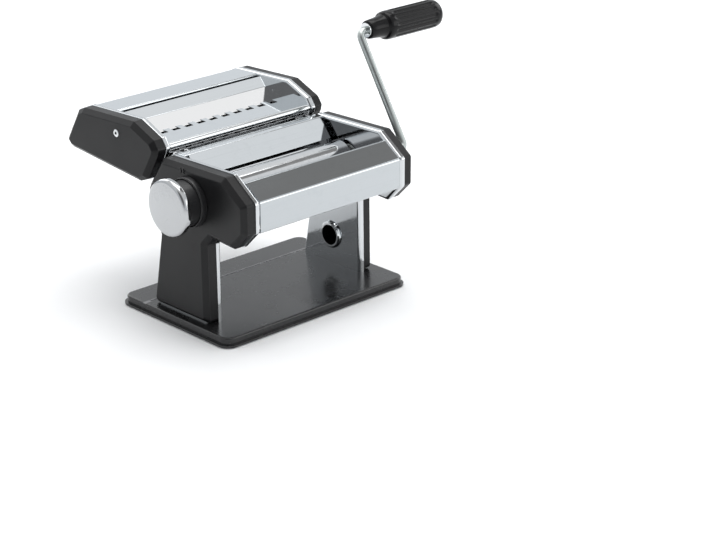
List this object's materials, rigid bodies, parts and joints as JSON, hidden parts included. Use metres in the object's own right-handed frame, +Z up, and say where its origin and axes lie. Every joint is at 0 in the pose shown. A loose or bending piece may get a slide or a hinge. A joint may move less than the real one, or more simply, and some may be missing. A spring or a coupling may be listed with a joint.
{
  "type": "hand-cranked pasta roller with cutter head",
  "caption": "Table pasta machine: chromed rollers between black-covered side frames on a flat base, a thickness knob, a lift-off noodle cutter head and a bent crank with a fluted grip.",
  "frame": {"origin": "under the middle of the base, on the surface that the feet stand on", "axes": "+X towards the crank side along the rollers, -Y towards the front hood, +Y towards the cutter head, +Z up"},
  "size_m": [0.3422, 0.2426, 0.2302],
  "materials": {
    "black_base": "semi-gloss black enamel",
    "rubber": "matt black",
    "zinc_screws": "zinc plated",
    "chrome_sheet": "bright chrome plate",
    "chrome_trim": "bright chrome plate",
    "black_cover": "satin black moulded",
    "zinc_steel": "zinc plated",
    "hard_steel": "machined, oiled",
    "spring_steel": "drawn wire",
    "roller_chrome": "ground and chromed",
    "cutter_steel": "turned and nickel plated",
    "bush_nylon": "white acetal",
    "crank_steel": "nickel plated rod",
    "grip_black": "glossy black moulded",
    "knob_black": "semi-gloss black moulded",
    "knob_silver": "satin chromed"
  },
  "bodies": {
    "root": {"base_plate": "black_base", "rubber_feet": "rubber", "foot_screws": "zinc_screws", "left_side_plate": "chrome_sheet", "right_side_plate": "chrome_sheet", "clamp_eyelet": "chrome_trim", "left_cover": "black_cover", "right_cover": "black_cover", "front_hood": "chrome_sheet", "guide_plate": "chrome_sheet", "rear_panel": "chrome_sheet", "head_rails": "zinc_steel", "tie_rods": "zinc_steel", "tie_rod_nuts": "zinc_screws", "front_scraper": "zinc_steel", "bearing_bushes": "bush_nylon", "index_collar": "knob_black"},
    "drive": {"crank_socket": "hard_steel", "drive_pinion": "hard_steel"},
    "crank": {"crank_rod": "crank_steel", "crank_washer": "zinc_screws"},
    "grip": {"crank_grip": "grip_black"},
    "front_roller": {"front_roller": "roller_chrome", "roller_drive_gear": "hard_steel", "front_sync_gear": "hard_steel"},
    "rear_roller": {"rear_roller": "roller_chrome", "rear_sync_gear": "hard_steel"},
    "carriage": {"carriage_left_plate": "zinc_steel", "carriage_right_plate": "zinc_steel", "carriage_bar": "zinc_steel", "rear_scraper": "zinc_steel", "gauge_strap": "zinc_steel", "follower_pin": "hard_steel"},
    "gauge": {"gauge_cam": "zinc_steel", "knob_shaft": "hard_steel", "knob_retainer": "zinc_screws", "knob_spring": "spring_steel"},
    "knob": {"knob_body": "knob_black", "index_pin": "hard_steel", "knob_cap": "knob_silver"},
    "head": {"head_left_plate": "chrome_sheet", "head_right_plate": "chrome_sheet", "head_left_cover": "black_cover", "head_right_cover": "black_cover", "head_screws": "zinc_screws", "head_rear_cover": "chrome_sheet", "head_mid_panel": "chrome_sheet", "head_comb": "chrome_sheet", "head_front_rail": "chrome_trim", "head_front_panel": "chrome_sheet", "cutter_bushes": "bush_nylon"},
    "wide_front": {"wide_cutter_front": "cutter_steel", "wide_gear_front": "hard_steel"},
    "wide_rear": {"wide_cutter_rear": "cutter_steel", "wide_gear_rear": "hard_steel"},
    "fine_front": {"fine_cutter_front": "cutter_steel", "fine_gear_front": "hard_steel"},
    "fine_rear": {"fine_cutter_rear": "cutter_steel", "fine_gear_rear": "hard_steel"}
  },
  "joints": [
    {"name": "crank_turn", "type": "hinge", "parent": "root", "child": "drive", "pos_m": [0.09, -0.0555, 0.1223], "axis": [1, 0, 0], "continuous": true},
    {"name": "crank_pull", "type": "slide", "parent": "drive", "child": "crank", "axis": [1, 0, 0], "range_m": [0, 0.02]},
    {"name": "grip_spin", "type": "hinge", "parent": "crank", "child": "grip", "pos_m": [0.17, 0.0036, 0.2171], "axis": [1, 0, 0], "continuous": true},
    {"name": "front_roller_spin", "type": "hinge", "parent": "root", "child": "front_roller", "pos_m": [0, -0.017, 0.116], "axis": [1, 0, 0], "continuous": true},
    {"name": "gap_slide", "type": "slide", "parent": "root", "child": "carriage", "axis": [0, -1, 0], "range_m": [0, 0.0024]},
    {"name": "rear_roller_spin", "type": "hinge", "parent": "carriage", "child": "rear_roller", "pos_m": [0, 0.0136, 0.116], "axis": [1, 0, 0], "continuous": true},
    {"name": "knob_turn", "type": "hinge", "parent": "root", "child": "gauge", "pos_m": [-0.1, -0.019, 0.117], "axis": [1, 0, 0], "range_deg": [0, 160]},
    {"name": "knob_pull", "type": "slide", "parent": "gauge", "child": "knob", "axis": [-1, 0, 0], "range_m": [0, 0.0035], "stiffness_N_per_m": 900, "springref_m": -0.003, "deforming": ["knob_spring"]},
    {"name": "head_lift", "type": "slide", "parent": "root", "child": "head", "axis": [0, -0.558, 0.8299], "range_m": [0, 0.045]},
    {"name": "wide_front_spin", "type": "hinge", "parent": "head", "child": "wide_front", "pos_m": [0, 0.0602, 0.138], "axis": [1, 0, 0], "continuous": true},
    {"name": "wide_rear_spin", "type": "hinge", "parent": "head", "child": "wide_rear", "pos_m": [0, 0.0792, 0.138], "axis": [1, 0, 0], "continuous": true},
    {"name": "fine_rear_spin", "type": "hinge", "parent": "head", "child": "fine_rear", "pos_m": [0, 0.119, 0.138], "axis": [1, 0, 0], "continuous": true},
    {"name": "fine_front_spin", "type": "hinge", "parent": "head", "child": "fine_front", "pos_m": [0, 0.1, 0.138], "axis": [1, 0, 0], "continuous": true}
  ],
  "couplings": [
    {"joint": "front_roller_spin", "follows": "crank_turn", "ratio": -0.625},
    {"joint": "rear_roller_spin", "follows": "crank_turn", "ratio": 0.625},
    {"joint": "knob_turn", "follows": "gap_slide", "rad_per_m": 1163.4},
    {"joint": "wide_rear_spin", "follows": "wide_front_spin", "ratio": -1},
    {"joint": "fine_front_spin", "follows": "fine_rear_spin", "ratio": -1}
  ]
}
